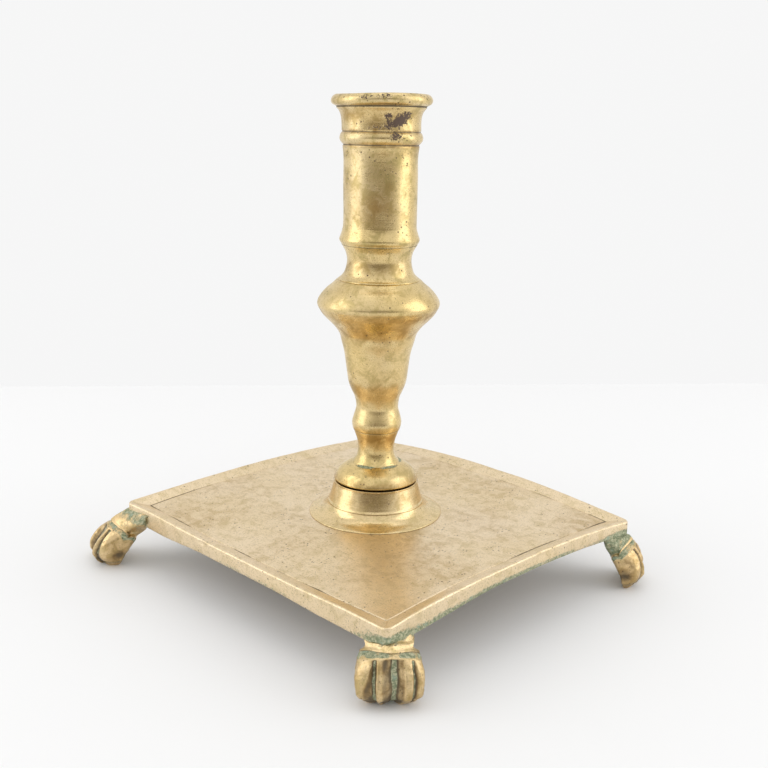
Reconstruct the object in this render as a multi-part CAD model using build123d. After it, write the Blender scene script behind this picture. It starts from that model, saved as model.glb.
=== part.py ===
from build123d import *
import math
import os

# Brass candlestick on an oblong plate with four paw feet.
# Origin: on the stem's axis at floor level. +Z is up, X runs along the plate's long side. Millimetres.

# --- base plate: a slightly domed slab with a raised rim round its top ---
PLATE_LENGTH = 156.0
PLATE_WIDTH = 140.6
PLATE_CORNER_RADIUS = 3.0
DOME_RADIUS = 1900.0
FIELD_TOP = 27.7             # height of the field (the plate inside its rim) at the middle
PLATE_THICKNESS = 3.3
RIM_WIDTH = 5.4
RIM_HEIGHT = 2.0             # above the field
RIM_ROUNDING = 0.9
RIM_LINE_WIDTH = 0.6         # cut line at the foot of the rim
RIM_LINE_DEPTH = 0.3

# --- tang: the stem's threaded end, which passes through the collar and the plate ---
TANG_RADIUS = 5.0
TANG_BORE_RADIUS = 5.08
TANG_BOTTOM = 14.9
THREAD_TOP = 26.5
THREAD_PITCH = 1.6
THREAD_DEPTH = 0.5

# --- collar: the turned boss that the stem stands on ---
FLANGE_RADIUS = 27.5
FLANGE_EDGE = 0.6            # thickness at its rim
CONE_FOOT = (19.7, 32.7)     # radius, height
CONE_TOP = (17.3, 41.0)
BOSS_RADIUS = 10.0
STEM_SEAT = 41.8             # the bell's underside, a little above the cone's top

# --- stem and candle socket ---
SOCKET_SEAT = 124.8
SOCKET_SEAT_RADIUS = 16.4
TENON_RADIUS = 6.0
TENON_LENGTH = 8.0
TENON_CLEARANCE = 0.05
BORE_RADIUS = 11.5           # takes a standard 22 mm candle
BORE_BOTTOM = 138.5
BORE_TOP = 189.0             # where the mouth starts to flare
BARREL_RADIUS = 14.45
LIP_TOP = 195.8
LIP_MOUTH_RADIUS = 15.6

# --- fixing under the plate ---
WASHER_RADIUS = 10.5
WASHER_HOLE_RADIUS = 5.3
WASHER_THICKNESS = 1.6
WASHER_TOP = 24.33           # its edge meets the hollow underside of the plate
NUT_WIDTH = 17.0
NUT_HEIGHT = 6.0
NUT_BORE_RADIUS = 5.06
NUT_CHAMFER = 0.8

# --- feet: a splay is how far a foot's tip leans out beyond the least splayed ---
FOOT_TOP = 22.4
SPIGOT_RADIUS = 4.0
SPIGOT_CENTRE = 98.5         # from the stem's axis, along the plate's diagonal
SPIGOT_TOP = 23.4
SPIGOT_CLEARANCE = 0.05
FEET = {
    "foot_front": {"corner": (1, -1), "splay": 1.0},
    "foot_right": {"corner": (1, 1), "splay": 2.6},
    "foot_back": {"corner": (-1, 1), "splay": 2.6},
    "foot_left": {"corner": (-1, -1), "splay": 6.3},
}
# height, back radius, front radius, half width, roundness of the front (0 faceted, 1 full)
FOOT_SECTIONS = [
    (22.4, 93.4, 104.4, 8.4, 0.15),
    (20.4, 94.0, 105.4, 7.9, 0.25),
    (18.2, 94.8, 107.1, 9.6, 0.5),
    (15.0, 96.3, 109.4, 11.3, 0.9),
    (11.0, 98.4, 111.2, 12.0, 1.0),
    (7.0, 100.4, 111.9, 11.9, 1.0),
    (3.2, 102.2, 110.6, 10.9, 1.0),
    (0.0, 103.4, 106.8, 8.0, 1.0),
]
TOE_GROOVE_RADIUS = 1.5
TOE_GROOVE_OFFSETS = (-6.2, 0.0, 6.2)
TOE_GROOVE_SETBACK = 0.1     # how the front falls back towards the foot's sides
BAND_HEIGHT = 18.4
BAND_CENTRE = 97.6
BAND_RADIUS = 9.6
BAND_DEPTH = 0.8


def ball(top):
    """A very large ball whose highest point is on the stem's axis, with its seam turned to the bottom."""
    return Pos(0, 0, top - DOME_RADIUS) * Rot(0, 90, 0) * Sphere(DOME_RADIUS)


def slab(inset, low, high, corner_radius):
    """An upright prism over the plate's plan, drawn in by the inset."""
    plan = RectangleRounded(PLATE_LENGTH - 2 * inset, PLATE_WIDTH - 2 * inset, corner_radius)
    return Pos(0, 0, low) * extrude(plan, amount=high - low)


def rod(radius, low, high):
    """An upright cylinder on the stem's axis."""
    return Pos(0, 0, low) * Cylinder(radius, high - low, align=(Align.CENTER, Align.CENTER, Align.MIN))


def turned(*edges):
    """A solid of revolution about Z, from edges given as (radius, height)."""
    return revolve(Plane.XZ * make_face(Curve() + list(edges)), Axis.Z)


def corner_place(corner):
    """The place of a foot: its own +X points outward along the plate's diagonal."""
    x_sign, y_sign = corner
    angle = math.degrees(math.atan2(y_sign * PLATE_WIDTH, x_sign * PLATE_LENGTH))
    return Rot(0, 0, angle)


def base_plate():
    low, high = 5.0, FIELD_TOP + RIM_HEIGHT + 10.0
    block = slab(0, low, high, PLATE_CORNER_RADIUS) & ball(FIELD_TOP + RIM_HEIGHT)
    block -= ball(FIELD_TOP - PLATE_THICKNESS)
    recess = slab(RIM_WIDTH, low, high, PLATE_CORNER_RADIUS)
    plate = block - (recess - ball(FIELD_TOP))
    rim_top = plate.faces().filter_by(GeomType.SPHERE).sort_by(SortBy.AREA)[0]
    plate = fillet(rim_top.edges(), RIM_ROUNDING)
    line = recess - slab(RIM_WIDTH + RIM_LINE_WIDTH, low, high, PLATE_CORNER_RADIUS)
    plate -= line - ball(FIELD_TOP - RIM_LINE_DEPTH)
    plate -= rod(TANG_BORE_RADIUS, low, high)
    for foot in FEET.values():
        hole = Pos(SPIGOT_CENTRE, 0, 0) * rod(SPIGOT_RADIUS + SPIGOT_CLEARANCE, low, SPIGOT_TOP)
        plate -= corner_place(foot["corner"]) * hole
    return plate


def stem_collar():
    flange_top = FIELD_TOP - FLANGE_RADIUS**2 / (2 * DOME_RADIUS) + FLANGE_EDGE
    low = FIELD_TOP - 3.0
    collar = turned(
        Polyline(
            (TANG_BORE_RADIUS, low), (FLANGE_RADIUS, low), (FLANGE_RADIUS, flange_top),
            (FLANGE_RADIUS - 0.8, flange_top + 0.3),
        ),
        Spline(
            (FLANGE_RADIUS - 0.8, flange_top + 0.3), (21.6, 29.8), (CONE_FOOT[0], CONE_FOOT[1] - 0.4),
            tangents=[(-1, 0.1), (-0.1, 1)],
        ),
        Polyline(
            (CONE_FOOT[0], CONE_FOOT[1] - 0.4), CONE_FOOT, CONE_TOP, (BOSS_RADIUS, CONE_TOP[1]),
            (BOSS_RADIUS, STEM_SEAT), (TANG_BORE_RADIUS, STEM_SEAT), (TANG_BORE_RADIUS, low),
        ),
    )
    return collar - ball(FIELD_TOP)


def lean(splay, height):
    """How far a splayed foot's section at this height is shifted outward."""
    return splay * (1 - height / FOOT_TOP) ** 0.7


def foot_section(height, back, front, half_width, roundness, shift):
    """One level section of a foot: a straight back and two flanks that meet at the front."""
    middle = back + (0.5 + 0.22 * roundness) * (front - back)
    side = half_width * (0.5 + 0.4 * roundness)
    flanks = []
    for sign in (1, -1):
        points = [(back, sign * half_width * 0.94), (middle, sign * side), (front, 0)]
        flanks.append(Spline(*[(x + shift, y) for x, y in points]))
    back_edge = Line((back + shift, half_width * 0.94), (back + shift, -half_width * 0.94))
    return Pos(0, 0, height) * make_face(Curve() + flanks + [back_edge])


def paw_foot(corner, splay):
    sections = []
    for height, back, front, half_width, roundness in FOOT_SECTIONS:
        section = foot_section(height, back, front, half_width, roundness, lean(splay, height))
        sections.append(section)
    above = Pos(SPIGOT_CENTRE, 0, FOOT_TOP) * Box(60, 60, 10) - ball(FIELD_TOP - PLATE_THICKNESS)
    foot = loft(sections) - above
    foot += Pos(SPIGOT_CENTRE, 0, 0) * rod(SPIGOT_RADIUS, FOOT_TOP - 4.0, SPIGOT_TOP)
    # the band between ankle and toes, and the grooves between the toes, all cut along the front
    foot -= Pos(BAND_CENTRE + lean(splay, BAND_HEIGHT), 0, BAND_HEIGHT) * Torus(BAND_RADIUS, BAND_DEPTH)
    for offset in TOE_GROOVE_OFFSETS:
        setback = TOE_GROOVE_SETBACK * abs(offset) ** 1.5
        groove = Spline(*[
            (front - setback + lean(splay, height), offset, height)
            for height, _, front, _, _ in FOOT_SECTIONS[3:]
        ])
        foot -= sweep(Plane(groove @ 0, z_dir=groove % 0) * Circle(TOE_GROOVE_RADIUS), path=groove)
    return corner_place(corner) * foot


def tang_edges():
    """The tang's outline from the bell's underside down to its end, thread rings included."""
    points = [(TANG_RADIUS, STEM_SEAT), (TANG_RADIUS, THREAD_TOP)]
    height = THREAD_TOP
    while height - THREAD_PITCH > TANG_BOTTOM + 0.8:
        points.append((TANG_RADIUS - THREAD_DEPTH, height - THREAD_PITCH / 2))
        points.append((TANG_RADIUS, height - THREAD_PITCH + 0.15))
        points.append((TANG_RADIUS, height - THREAD_PITCH))
        height -= THREAD_PITCH
    points.append((TANG_RADIUS - 0.6, TANG_BOTTOM))
    points.append((0, TANG_BOTTOM))
    return points


def stem():
    shoulder = Spline(
        (17.0, SOCKET_SEAT - 0.2), (20.8, 121.2), (24.5, 115.3), (21.2, 109.9), (16.6, 105.0),
        (14.7, 100.0), (12.9, 91.8), (11.75, 83.5), (9.2, 76.8), (8.6, 73.0), (9.1, 70.0),
        (10.0, 66.4), (9.5, 63.2), tangents=[(1, -0.9), (-0.25, -1)],
    )
    neck = Spline(
        (9.3, 63.0), (7.4, 56.0), (8.2, 51.3), (10.6, 48.9), tangents=[(-0.4, -1), (1, -0.6)],
    )
    bell = Spline(
        (11.2, 48.8), (15.3, 46.4), (17.3, 42.7), (17.0, STEM_SEAT), tangents=[(1, -0.15), (-0.6, -1)],
    )
    tang = tang_edges()
    body = turned(
        Polyline((0, SOCKET_SEAT), (SOCKET_SEAT_RADIUS, SOCKET_SEAT), (17.0, SOCKET_SEAT - 0.2)),
        shoulder,
        Line((9.5, 63.2), (9.3, 63.0)),
        neck,
        Line((10.6, 48.9), (11.2, 48.8)),
        bell,
        Line((17.0, STEM_SEAT), tang[0]),
        Polyline(*tang),
        Line(tang[-1], (0, SOCKET_SEAT)),
    )
    hole_low = SOCKET_SEAT - TENON_LENGTH - 0.3
    return body - rod(TENON_RADIUS + TENON_CLEARANCE, hole_low, SOCKET_SEAT)


def candle_socket():
    tenon_low = SOCKET_SEAT - TENON_LENGTH
    seat = Polyline(
        (0, BORE_BOTTOM), (0, tenon_low), (TENON_RADIUS, tenon_low), (TENON_RADIUS, SOCKET_SEAT),
        (SOCKET_SEAT_RADIUS - 0.3, SOCKET_SEAT),
    )
    neck = Spline(
        (SOCKET_SEAT_RADIUS - 0.3, SOCKET_SEAT), (13.5, 128.4), (12.75, 132.2), (13.4, 135.6),
        (15.0, 138.6), tangents=[(-1, 0.8), (1, 0.9)],
    )
    lower_bead = Spline((15.0, 138.6), (15.85, 140.5), (15.0, 143.2), (BARREL_RADIUS, 146.6), tangents=[(1, 1), (0, 1)])
    barrel = Polyline((BARREL_RADIUS, 146.6), (BARREL_RADIUS, 172.0), (14.9, 176.6), (14.6, 177.0), (15.1, 177.4))
    upper_bead = ThreePointArc((15.1, 177.4), (16.15, 180.1), (15.3, 182.9))
    bead_line = Polyline((15.3, 182.9), (14.9, 183.2), (15.3, 183.5))
    flare = Spline((15.3, 183.5), (15.4, 186.5), (16.3, 189.6), (17.6, 191.4), tangents=[(0, 1), (1, 0.7)])
    lip = Spline(
        (17.6, 191.4), (19.3, 193.7), (17.9, LIP_TOP), (LIP_MOUTH_RADIUS, LIP_TOP - 0.7),
        tangents=[(1, 0.1), (-1, -0.6)],
    )
    mouth = Spline(
        (LIP_MOUTH_RADIUS, LIP_TOP - 0.7), (12.4, 191.6), (BORE_RADIUS, BORE_TOP), tangents=[(-1, -0.9), (0, -1)],
    )
    bore = Polyline((BORE_RADIUS, BORE_TOP), (BORE_RADIUS, BORE_BOTTOM), (0, BORE_BOTTOM))
    return turned(seat, neck, lower_bead, barrel, upper_bead, bead_line, flare, lip, mouth, bore)


def tang_washer():
    low = WASHER_TOP - WASHER_THICKNESS
    washer = rod(WASHER_RADIUS, low, WASHER_TOP) - rod(WASHER_HOLE_RADIUS, low, WASHER_TOP)
    return chamfer(washer.edges().filter_by(GeomType.CIRCLE).sort_by(SortBy.RADIUS)[-2:], 0.3)


def tang_nut():
    top = WASHER_TOP - WASHER_THICKNESS - 0.02
    block = extrude(Rectangle(NUT_WIDTH, NUT_WIDTH), amount=-NUT_HEIGHT)
    block = chamfer(block.edges().filter_by(Axis.Z), NUT_CHAMFER)
    nut = Pos(0, 0, top) * Rot(0, 0, 20) * block
    return nut - rod(NUT_BORE_RADIUS, top - NUT_HEIGHT, top)


def main():
    nodes = {
        "base_plate": base_plate(),
        "stem_collar": stem_collar(),
        "stem": stem(),
        "candle_socket": candle_socket(),
        "tang_washer": tang_washer(),
        "tang_nut": tang_nut(),
    }
    for name, foot in FEET.items():
        nodes[name] = paw_foot(**foot)
    os.makedirs("parts", exist_ok=True)
    for name, shape in nodes.items():
        export_step(shape, f"parts/{name}.step")


main()
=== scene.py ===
import math
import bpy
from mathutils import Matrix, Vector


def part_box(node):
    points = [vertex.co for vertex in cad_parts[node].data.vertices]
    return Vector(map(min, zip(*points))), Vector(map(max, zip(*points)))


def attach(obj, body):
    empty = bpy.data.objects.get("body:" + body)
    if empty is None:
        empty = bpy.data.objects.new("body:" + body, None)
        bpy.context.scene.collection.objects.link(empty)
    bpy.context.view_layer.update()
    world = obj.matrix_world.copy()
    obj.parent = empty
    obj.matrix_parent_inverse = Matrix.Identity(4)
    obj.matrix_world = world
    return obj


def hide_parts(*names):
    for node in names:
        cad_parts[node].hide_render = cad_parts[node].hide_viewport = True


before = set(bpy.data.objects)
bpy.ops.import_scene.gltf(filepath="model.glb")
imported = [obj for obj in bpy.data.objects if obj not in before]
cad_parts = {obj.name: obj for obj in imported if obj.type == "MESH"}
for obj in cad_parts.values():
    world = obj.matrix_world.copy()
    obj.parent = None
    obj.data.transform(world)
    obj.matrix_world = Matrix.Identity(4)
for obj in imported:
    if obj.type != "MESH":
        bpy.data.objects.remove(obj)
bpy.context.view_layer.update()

from types import SimpleNamespace

import bpy
import numpy as np
from mathutils import Matrix, Vector

# Brass candlestick. Lengths in the shape code are millimetres in the frame's axes: the stem stands on Z,
# the plate's long side runs along X. Each finished mesh is scaled to metres when it is made.

MM = 0.001
RNG_SEED = 11

# ------------------------------------------------------------------ dimensions


def box_mm(node):
    low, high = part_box(node)
    return np.array(low) / MM, np.array(high) / MM


HALF_LENGTH, HALF_WIDTH = box_mm("base_plate")[1][:2]
CORNER_REACH = math.hypot(HALF_LENGTH, HALF_WIDTH)
DOME_RADIUS = 1900.0
FIELD_TOP = 27.7            # height of the plate's field on the stem's axis
PLATE_THICKNESS = 3.3
CORNER_RADIUS = 2.6
TANG_BORE = 5.08            # radius
THREAD_PITCH = 1.6
THREAD_TOP = 26.5
COLLAR_TOP = box_mm("stem_collar")[1][2]    # where the stem is seated
SOCKET_SEAT = box_mm("stem")[1][2]
LIP_TOP = box_mm("candle_socket")[1][2]
TANG_BOTTOM = box_mm("stem")[0][2]

# ------------------------------------------------------------------ small tools


def smooth_step(x, low, high):
    """0 below low, 1 above high, smooth between; low may be the larger."""
    t = np.clip((np.asarray(x, float) - low) / (high - low), 0, 1)
    return t * t * (3 - 2 * t)


def bell(x, centre, width):
    """A smooth bump of height 1."""
    return np.exp(-(((np.asarray(x, float) - centre) / width) ** 2))


def ripple(points, wavelength, seed, waves=14):
    """Smooth noise of about -1 to 1 at the points (n, 3): a sum of plane waves in random directions."""
    rng = np.random.default_rng(RNG_SEED + seed)
    total = np.zeros(len(points))
    for _ in range(waves):
        direction = rng.normal(size=3)
        direction /= np.linalg.norm(direction)
        pitch = wavelength * rng.uniform(0.7, 1.6)
        total += np.sin(points @ direction * (2 * math.pi / pitch) + rng.uniform(0, 2 * math.pi))
    return total / math.sqrt(waves) * 0.9


def curve_through(points, spacing):
    """Points at about the given spacing on a smooth curve through the control points (Catmull-Rom)."""
    p = np.array(points, float)
    p = np.vstack([2 * p[0] - p[1], p, 2 * p[-1] - p[-2]])
    out = []
    for i in range(1, len(p) - 2):
        a, b, c, d = p[i - 1:i + 3]
        steps = max(2, int(math.ceil(np.linalg.norm(c - b) / spacing)))
        for t in np.arange(steps) / steps:
            out.append(0.5 * (2 * b + (c - a) * t + (2 * a - 5 * b + 4 * c - d) * t**2
                              + (3 * b - a - 3 * c + d) * t**3))
    out.append(p[-2])
    return np.array(out)


def outline(spacing, *stretches):
    """One outline of smooth stretches that meet at corners, sampled at the spacing."""
    parts = [curve_through(s, spacing) for s in stretches]
    return np.vstack([parts[0]] + [part[1:] for part in parts[1:]])


def grid_faces(rows, columns):
    """Quads of a tube of closed rings, each of so many columns."""
    faces = []
    for i in range(rows - 1):
        for j in range(columns):
            k = (j + 1) % columns
            faces.append((i * columns + j, i * columns + k, (i + 1) * columns + k, (i + 1) * columns + j))
    return faces


def make_piece(name, vertices, faces, body, replaces, material, attributes):
    """A smooth-shaded mesh object in metres that rides on a body and stands for CAD nodes."""
    mesh = bpy.data.meshes.new(name)
    mesh.from_pydata((np.asarray(vertices) * MM).tolist(), [], faces)
    mesh.update()
    for key, values in attributes.items():
        values = np.asarray(values, float)
        kind = "FLOAT" if values.ndim == 1 else "FLOAT_VECTOR"
        layer = mesh.attributes.new(key, kind, "POINT")
        layer.data.foreach_set("value" if values.ndim == 1 else "vector", values.ravel())
    mesh.polygons.foreach_set("use_smooth", [True] * len(mesh.polygons))
    piece = bpy.data.objects.new(name, mesh)
    bpy.context.scene.collection.objects.link(piece)
    mesh.materials.append(material)
    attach(piece, body)
    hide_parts(*replaces)
    return piece


# ------------------------------------------------------------------ camera

CAMERA_PLACE = Vector((0.2938, -0.2876, 0.1847))
CAMERA_HEADING = 45.226
CAMERA_TILT = 75.961
CAMERA_ROLL = 1.037
CAMERA_LENS = 48.75


def make_camera():
    data = bpy.data.cameras.new("camera")
    data.lens = CAMERA_LENS
    data.sensor_width = 36.0
    camera = bpy.data.objects.new("camera", data)
    turn = (Matrix.Rotation(math.radians(CAMERA_HEADING), 4, "Z")
            @ Matrix.Rotation(math.radians(CAMERA_TILT), 4, "X")
            @ Matrix.Rotation(math.radians(CAMERA_ROLL), 4, "Z"))
    camera.matrix_world = Matrix.Translation(CAMERA_PLACE) @ turn
    bpy.context.scene.collection.objects.link(camera)
    bpy.context.scene.camera = camera


# ------------------------------------------------------------------ materials


class Nodes:
    """Short names for the shader nodes that the materials use."""

    def __init__(self, material):
        self.tree = material.node_tree
        self.tree.nodes.clear()

    def add(self, kind, **settings):
        node = self.tree.nodes.new(kind)
        for key, value in settings.items():
            setattr(node, key, value)
        return node

    def put(self, node, socket, value):
        """A link where the value is a socket, a setting where it is a number or colour, nothing for None."""
        if value is None:
            return
        target = node.inputs[socket]
        if isinstance(value, bpy.types.NodeSocket):
            self.tree.links.new(value, target)
        else:
            target.default_value = value

    def attribute(self, name, output="Fac"):
        return self.add("ShaderNodeAttribute", attribute_name=name).outputs[output]

    def place(self):
        return self.add("ShaderNodeTexCoord").outputs["Object"]

    def stretched(self, vector, scale):
        node = self.add("ShaderNodeMapping")
        self.put(node, "Vector", vector)
        self.put(node, "Scale", scale)
        return node.outputs["Vector"]

    def noise(self, vector, scale, detail=4.0, roughness=0.55, distortion=0.0):
        node = self.add("ShaderNodeTexNoise")
        for socket, value in (("Vector", vector), ("Scale", scale), ("Detail", detail),
                              ("Roughness", roughness), ("Distortion", distortion)):
            self.put(node, socket, value)
        return node.outputs["Fac"]

    def cells(self, vector, scale):
        node = self.add("ShaderNodeTexVoronoi")
        self.put(node, "Vector", vector)
        self.put(node, "Scale", scale)
        return node.outputs["Distance"]

    def remap(self, value, low, high, to_low=0.0, to_high=1.0):
        node = self.add("ShaderNodeMapRange", interpolation_type="SMOOTHSTEP")
        for socket, number in (("Value", value), ("From Min", low), ("From Max", high),
                               ("To Min", to_low), ("To Max", to_high)):
            self.put(node, socket, number)
        return node.outputs["Result"]

    def math(self, operation, a, b=None, clamp=False):
        node = self.add("ShaderNodeMath", operation=operation, use_clamp=clamp)
        self.put(node, 0, a)
        self.put(node, 1, b)
        return node.outputs["Value"]

    def mix(self, factor, a, b):
        node = self.add("ShaderNodeMix", data_type="RGBA")
        self.put(node, "Factor", factor)
        node.inputs[6].default_value = a if not isinstance(a, bpy.types.NodeSocket) else (0, 0, 0, 1)
        node.inputs[7].default_value = b if not isinstance(b, bpy.types.NodeSocket) else (0, 0, 0, 1)
        for socket, value in ((6, a), (7, b)):
            if isinstance(value, bpy.types.NodeSocket):
                self.tree.links.new(value, node.inputs[socket])
        return node.outputs[2]


def colour(red, green, blue):
    return (red, green, blue, 1.0)


GOLD = colour(0.78, 0.59, 0.27)
PLATE_TAN = colour(0.86, 0.70, 0.48)
FOOT_GOLD = colour(0.76, 0.56, 0.30)
DULL_BRASS = colour(0.52, 0.38, 0.18)
TAN = colour(0.75, 0.60, 0.35)
OLIVE = colour(0.46, 0.36, 0.14)
ORANGE_BROWN = colour(0.40, 0.24, 0.08)
TARNISH = colour(0.10, 0.065, 0.045)
# dirt, and the painted shade that the same layer lays under the plate and on the feet's toe flats and hollows
DIRT_AND_SHADE_BROWN = colour(0.11, 0.08, 0.04)
VERDIGRIS = colour(0.17, 0.20, 0.11)
VERDIGRIS_PALE = colour(0.47, 0.46, 0.30)
VERDIGRIS_BLUE = colour(0.25, 0.34, 0.26)


# scales of the noises, per metre, from broad drifts of colour to fine grain
DRIFT_SCALE = 30.0
PIT_CLUSTER_SCALE = 110.0
MOTTLE_SCALE = 190.0
SPECK_CLUSTER_SCALE = 260.0
PATCH_SCALE = 330.0
PIT_SCALE = 560.0
FLECK_SCALE = 900.0
CRUST_SCALE = 1300.0
GRAIN_SCALE = 1500.0


def brass_noises(n, marks):
    """The noises that the layers of old brass share."""
    place = n.place()
    return SimpleNamespace(
        place=place,
        drift=n.noise(place, DRIFT_SCALE, 3.0),
        mottle=n.noise(place, MOTTLE_SCALE, 7.0, 0.68, 0.5),
        grain=n.noise(place, GRAIN_SCALE, 4.0, 0.65),
        crust=n.noise(place, CRUST_SCALE, 5.0, 0.7),
        streaks=n.noise(n.stretched(n.attribute("skin", "Vector"), marks), 1.0, 4.0, 0.6),
    )


def bare_metal(n, noise, light, stain):
    """The metal's colour: it drifts to tan, is stained olive, and is brown where the mesh says warm, on the
    feet partly as painted shade.
    """
    base = n.mix(n.remap(noise.drift, 0.36, 0.66, 0.0, stain), light, TAN)
    base = n.mix(n.remap(noise.mottle, 0.47, 0.64, 0.0, stain), base, OLIVE)
    base = n.mix(n.remap(noise.grain, 0.50, 0.74, 0.0, 0.75), base, OLIVE)
    base = n.mix(n.remap(noise.streaks, 0.5, 0.75, 0.0, 0.3), base, OLIVE)
    warm = n.math("MULTIPLY", n.attribute("warm"), n.remap(noise.mottle, 0.3, 0.6))
    return n.mix(warm, base, ORANGE_BROWN)


def pits_and_specks(n, noise, speckle):
    """Small pits and finer specks, both in loose clusters."""
    pits = n.remap(n.cells(noise.place, PIT_SCALE), 0.24, 0.10)
    pits = n.math("MULTIPLY", pits, n.remap(n.noise(noise.place, PIT_CLUSTER_SCALE, 2.0), 0.52, 0.60))
    specks = n.remap(n.cells(noise.place, GRAIN_SCALE), 0.26, 0.12)
    specks = n.math("MULTIPLY", specks, n.remap(n.noise(noise.place, SPECK_CLUSTER_SCALE, 2.0), 0.42, 0.54))
    return n.math("MULTIPLY", n.math("MAXIMUM", pits, n.math("MULTIPLY", specks, 0.7)), speckle)


def black_tarnish(n, noise):
    """Ragged black patches with flecks of bare metal, where the mesh says black."""
    flecks = n.noise(noise.place, FLECK_SCALE, 6.0, 0.75, 0.8)
    ragged = n.math("ADD", n.math("MULTIPLY", flecks, 1.5), n.math("MULTIPLY", noise.crust, 0.3))
    return n.remap(n.math("ADD", n.attribute("black"), ragged), 1.30, 1.38)


def dirt(n, noise):
    """A dark film where the mesh says so: dirt, and painted shade under the plate and on the feet's toe flats
    and hollows.
    """
    amount = n.math("ADD", n.attribute("grime"), n.math("MULTIPLY", noise.mottle, 0.5))
    return n.remap(amount, 0.45, 1.0)


def verdigris(n, noise):
    """Where verdigris lies, as the mesh says green, and its speckled colour."""
    patchy = n.noise(noise.place, PATCH_SCALE, 4.0, 0.6)
    spread = n.math("ADD", n.math("MULTIPLY", noise.crust, 0.7), n.math("MULTIPLY", patchy, 0.3))
    green = n.remap(n.math("ADD", n.attribute("green"), spread), 0.92, 1.14)
    pale = n.remap(n.noise(noise.place, FLECK_SCALE, 5.0, 0.75, 0.6), 0.42, 0.62)
    tint = n.mix(pale, VERDIGRIS, VERDIGRIS_PALE)
    tint = n.mix(n.remap(patchy, 0.56, 0.70, 0.0, 0.6), tint, VERDIGRIS_BLUE)
    return green, tint


def surface_roughness(n, noise, rough, covered_and_shaded):
    wear = n.math("ADD", n.math("MULTIPLY", noise.drift, 0.4), n.math("MULTIPLY", noise.mottle, 0.6))
    metal = n.math("ADD", n.remap(wear, 0.36, 0.66, *rough), n.math("MULTIPLY", noise.grain, 0.08))
    return n.math("MAXIMUM", metal, n.math("MULTIPLY", covered_and_shaded, 0.75))


def surface_normal(n, noise, mark_depth, dark, covered_and_shaded):
    """Fine tool marks, grain, pits and crust, in millimetres."""
    height = n.math("ADD", n.math("MULTIPLY", noise.streaks, mark_depth),
                    n.math("MULTIPLY", noise.grain, 0.02))
    height = n.math("ADD", height, n.math("MULTIPLY", noise.mottle, 0.05))
    height = n.math("SUBTRACT", height, n.math("MULTIPLY", dark, 0.10))
    height = n.math("ADD", height, n.math("MULTIPLY", n.math("MULTIPLY", noise.crust, covered_and_shaded), 0.35))
    bump = n.add("ShaderNodeBump")
    n.put(bump, "Strength", 0.6)
    n.put(bump, "Distance", MM)
    n.put(bump, "Height", height)
    return bump.outputs["Normal"]


def brass(name, light, rough, marks, mark_depth, speckle=0.6, stain=0.6):
    """Old brass: bare metal, pits and specks, black tarnish, dirt and verdigris, one over the other.

    rough is the range of the metal's roughness; marks stretches the tool marks along the mesh's skin
    coordinates. The mesh says where brown, black, dirt and verdigris gather, by its attributes; its brown and
    dirt also paint shade under the plate and on the feet's toe flats and hollows.
    """
    material = bpy.data.materials.new(name)
    material.use_nodes = True
    n = Nodes(material)
    noise = brass_noises(n, marks)
    dark = pits_and_specks(n, noise, speckle)
    black = black_tarnish(n, noise)
    grime = dirt(n, noise)
    green, tint = verdigris(n, noise)
    base = bare_metal(n, noise, light, stain)
    for amount, layer in ((dark, TARNISH), (black, TARNISH), (grime, DIRT_AND_SHADE_BROWN), (green, tint)):
        base = n.mix(amount, base, layer)
    covered_and_shaded = n.math("MAXIMUM", green, n.math("MULTIPLY", grime, 0.8))
    covered_and_shaded = n.math("MAXIMUM", covered_and_shaded, n.math("MULTIPLY", black, 0.6))
    shader = n.add("ShaderNodeBsdfPrincipled")
    n.put(shader, "Base Color", base)
    n.put(shader, "Metallic", n.math("SUBTRACT", 1.0, covered_and_shaded, clamp=True))
    n.put(shader, "Roughness", surface_roughness(n, noise, rough, covered_and_shaded))
    n.put(shader, "Normal", surface_normal(n, noise, mark_depth, dark, covered_and_shaded))
    out = n.add("ShaderNodeOutputMaterial")
    n.put(out, "Surface", shader.outputs["BSDF"])
    return material


# ------------------------------------------------------------------ turned pieces


def turned(name, profile, columns, body, replaces, material, weather, shape=None):
    """A lathe-turned piece. weather and shape read each vertex's point, radius and angle.

    shape returns the points moved a little, as no old turned piece is quite true; weather returns attributes.
    """
    profile = np.asarray(profile, float)
    rows = len(profile)
    steps = np.linalg.norm(np.diff(profile, axis=0), axis=1)
    arc = np.repeat(np.concatenate([[0], np.cumsum(steps)]), columns)
    angle = np.tile(np.arange(columns) * (2 * math.pi / columns), rows)
    radius, height = (np.repeat(profile[:, i], columns) for i in (0, 1))
    points = np.stack([radius * np.cos(angle), radius * np.sin(angle), height], axis=1)
    attributes = weather(points, radius, angle)
    attributes["skin"] = np.stack([angle * np.maximum(radius, 1.0), arc, np.zeros(len(arc))], axis=1) * MM
    if shape is not None:
        points = shape(points, radius, angle)
    faces = grid_faces(rows, columns)
    vertices = points.tolist()
    closed = np.allclose(profile[0], profile[-1])
    if not closed and max(profile[0][0], profile[-1][0]) > 1e-6:
        raise ValueError(f"{name}: an open outline has to start and end on the axis")
    if closed:
        last = (rows - 1) * columns
        faces = [tuple(i - last if i >= last else i for i in face) for face in faces]
        vertices = vertices[:last]
        attributes = {k: v[:last] for k, v in attributes.items()}
    else:
        faces, vertices, attributes = close_poles(faces, vertices, attributes, rows, columns)
    return make_piece(name, vertices, faces, body, replaces, material, attributes)


def close_poles(faces, vertices, attributes, rows, columns):
    """Joins each end ring of radius 0 into one vertex, so that the mesh is closed."""
    last = (rows - 1) * columns
    keep = [0] + list(range(columns, last)) + [last]
    index = {}
    for new, old in enumerate(keep):
        index[old] = new
    for j in range(columns):
        index[j] = 0
        index[last + j] = len(keep) - 1
    out = []
    for face in faces:
        corners = []
        for i in face:
            if index[i] not in corners:
                corners.append(index[i])
        out.append(tuple(corners))
    return out, [vertices[i] for i in keep], {k: v[keep] for k, v in attributes.items()}


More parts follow.
